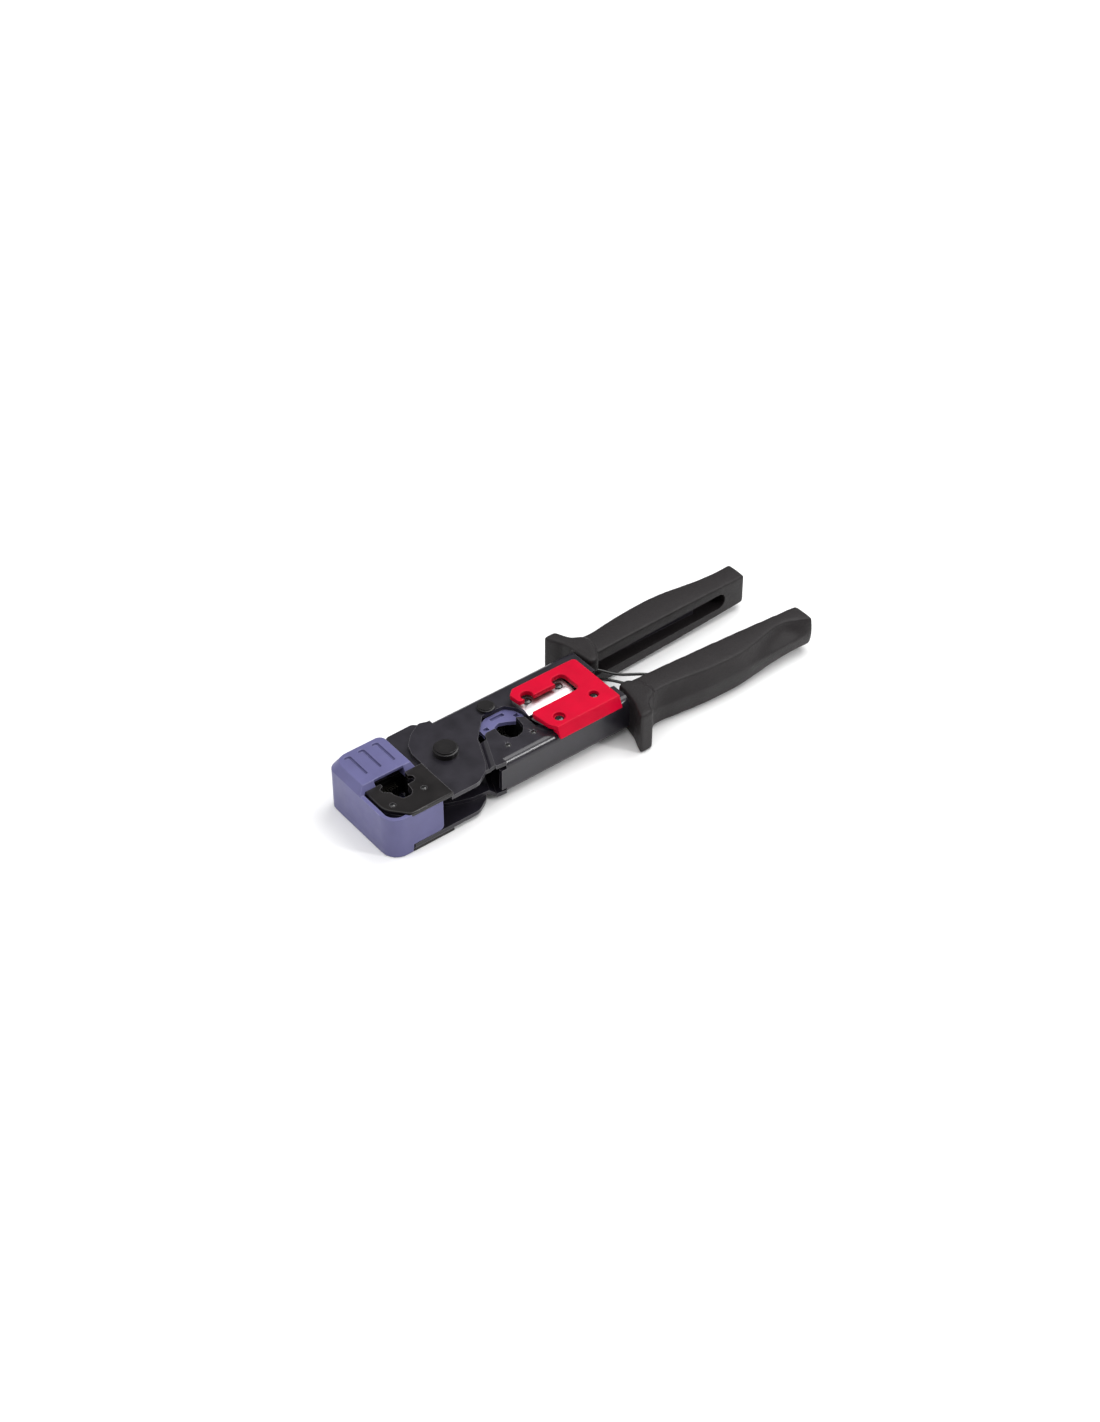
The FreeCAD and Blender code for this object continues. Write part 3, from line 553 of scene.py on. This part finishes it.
def make_screws(node, places, profile, recess, depth, look):
    """Pan-head screws with a cross cut in them, recess from middle to tip and depth deep."""
    top = profile[-1][1]

    def fill(bm):
        for x, y in places:
            add_lathe(bm, x, y, profile)
    obj = new_piece(node + "_heads", shell(fill), node, look)
    for x, y in places:
        for dx, dy in ((recess, recess * SLIT), (recess * SLIT, recess)):
            cut(obj, shell(lambda bm: add_plate(bm, [(x - dx, y - dy), (x + dx, y - dy), (x + dx, y + dy),
                                                     (x - dx, y + dy)], top - depth, top + 1)))
    soften(obj, 0.06)


def pan(shank, radius, low, seat, top):
    """Profile of a shank from low to seat and a domed head up to top."""
    rise = top - seat
    dome = [(radius * math.cos(a), seat + rise * 0.35 + rise * 0.65 * math.sin(a))
            for a in (math.pi / 2 * k / 7 for k in range(7))]
    return [(shank, low), (shank, seat), (radius, seat)] + dome + [(radius * 0.12, top)]


def make_domes(node, places, radius, low, seat, top, look):
    """Plain pins whose upper ends are closed to low domes."""
    rise = [(radius * math.cos(a), seat + (top - seat) * math.sin(a))
            for a in (math.pi / 16 * k for k in range(8))]

    def fill(bm):
        for x, y in places:
            add_lathe(bm, x, y, [(radius, low)] + rise)
    smooth_shade(new_piece(node + "_heads", shell(fill), node, look).data, 50.0)


NEST_PINS = [(-34.4, -13.3), (-19.5, -12.7)]
SMALL_PINS = [(21.5, -11.5), (33.9, -11.5)]
make_domes("nest_rivets", NEST_PINS, radius=1.08, low=-9.95, seat=9.85, top=10.25, look="screw")
make_domes("small_nest_pins", SMALL_PINS, radius=1.08, low=-8.15, seat=8.05, top=8.45, look="screw")

BLADE_SCREWS = [(42.3, 3.7), (57.6, 3.3)]
GUARD_SCREWS = [(44.7, -14.0), (63.6, -11.8)]
make_screws("blade_screws", BLADE_SCREWS, pan(shank=1.2, radius=1.9, low=6.4, seat=9.2, top=10.0),
            recess=0.80, depth=0.35, look="screw")
make_screws("guard_screws", GUARD_SCREWS, pan(shank=1.2, radius=1.8, low=6.4, seat=10.75, top=11.55),
            recess=0.85, depth=0.45, look="screw")

# ---------------------------------------------------------------- floor, light and camera
FLOOR = 4.0             # half the floor's width in metres
floor_mesh = bpy.data.meshes.new("floor")
floor_mesh.from_pydata([(-FLOOR, -FLOOR, 0), (FLOOR, -FLOOR, 0), (FLOOR, FLOOR, 0), (-FLOOR, FLOOR, 0)], [],
                       [(0, 1, 2, 3)])
floor = bpy.data.objects.new("floor", floor_mesh)
bpy.context.scene.collection.objects.link(floor)
pale = Shader("pale_floor").set(Base_Color=(0.93, 0.93, 0.93, 1), Roughness=0.75, Specular_IOR_Level=0.2)
floor_mesh.materials.append(pale.material)

DARK_WALL = (0.465, 0.595, 0.656)       # towards a dark studio wall, which the flat tops mirror
WALL = [(0.0, 1.0), (0.70, 1.0), (0.90, 0.18), (1.0, 0.145)]      # nearness to that wall, brightness
RISE = [(0.0, 1.0), (0.03, 0.9), (0.10, 0.10), (0.60, 0.95), (1.0, 1.5)]     # height above the horizon
SIDE = [(0.0, 0.35), (0.30, 0.45), (0.55, 1.0), (1.0, 1.0)]        # near side to far side
SKY_GREY = 1.60

world = bpy.data.worlds.new("studio")
world.use_nodes = True
sky = world.node_tree
sky_place = sky.nodes.new("ShaderNodeTexCoord").outputs["Generated"]
sky_side = sky.nodes.new("ShaderNodeVectorMath")
sky_side.operation = "DOT_PRODUCT"
sky_side.inputs[1].default_value = DARK_WALL
sky_split = sky.nodes.new("ShaderNodeSeparateXYZ")
sky_near = sky.nodes.new("ShaderNodeMath")          # 0 at the near side and 1 at the far side
sky_near.operation = "MULTIPLY_ADD"
sky_near.inputs[1].default_value = 0.5
sky_near.inputs[2].default_value = 0.5
sky.links.new(sky_place, sky_side.inputs[0])
sky.links.new(sky_place, sky_split.inputs["Vector"])
sky.links.new(sky_split.outputs["Y"], sky_near.inputs[0])


def sky_level(source, stops):
    """Brightness that follows source by stops of (value, brightness)."""
    ramp = sky.nodes.new("ShaderNodeValToRGB")
    while len(ramp.color_ramp.elements) < len(stops):
        ramp.color_ramp.elements.new(0.5)
    for element, (position, level) in zip(ramp.color_ramp.elements, stops):
        element.position = position
        element.color = (level, level, level, 1.0)
    sky.links.new(source, ramp.inputs["Fac"])
    return ramp.outputs["Color"]


strength = sky_level(sky_side.outputs["Value"], WALL)
for factor in (sky_level(sky_split.outputs["Z"], RISE), sky_level(sky_near.outputs["Value"], SIDE)):
    product = sky.nodes.new("ShaderNodeMath")
    product.operation = "MULTIPLY"
    sky.links.new(strength, product.inputs[0])
    sky.links.new(factor, product.inputs[1])
    strength = product.outputs["Value"]
sky.links.new(strength, sky.nodes["Background"].inputs["Strength"])
sky.nodes["Background"].inputs["Color"].default_value = (SKY_GREY, SKY_GREY, SKY_GREY, 1.0)
bpy.context.scene.world = world


def soft_light(name, place, size, length, power):
    """A size by length area light at place, in metres from the pivot, aimed at the tool."""
    light = bpy.data.lights.new(name, "AREA")
    light.shape = "RECTANGLE"
    light.size = size
    light.size_y = length
    light.energy = power
    obj = bpy.data.objects.new(name, light)
    obj.location = PIVOT + Vector(place)
    obj.rotation_euler = (PIVOT - obj.location).to_track_quat("-Z", "Y").to_euler()
    bpy.context.scene.collection.objects.link(obj)


soft_light("key", (0.75, 0.16, 1.20), 0.9, 0.9, 9.5)
soft_light("glint", (0.62, -0.86, 0.78), 0.14, 0.60, 5.3)

AZIMUTH, ELEVATION = math.radians(-38.0), math.radians(41.0)
EYE = Vector((-0.42746, -0.61241, 0.68756))      # from the pivot's foot on the floor
FOCAL_IN_HEIGHTS = 1.8284107                      # focal length over picture height
SENSOR = 36.0
back = Vector((math.sin(AZIMUTH) * math.cos(ELEVATION), -math.cos(AZIMUTH) * math.cos(ELEVATION),
               math.sin(ELEVATION)))
right = Vector((math.cos(AZIMUTH), math.sin(AZIMUTH), 0.0))
camera_data = bpy.data.cameras.new("camera")
camera_data.sensor_fit = "VERTICAL"
camera_data.sensor_height = SENSOR
camera_data.lens = SENSOR * FOCAL_IN_HEIGHTS
camera = bpy.data.objects.new("camera", camera_data)
turn = Matrix((right, back.cross(right), back)).transposed().to_4x4()
camera.matrix_world = Matrix.Translation(Vector((PIVOT.x, PIVOT.y, 0.0)) + EYE) @ turn
bpy.context.scene.collection.objects.link(camera)
bpy.context.scene.camera = camera
bpy.context.scene.view_settings.view_transform = "Standard"
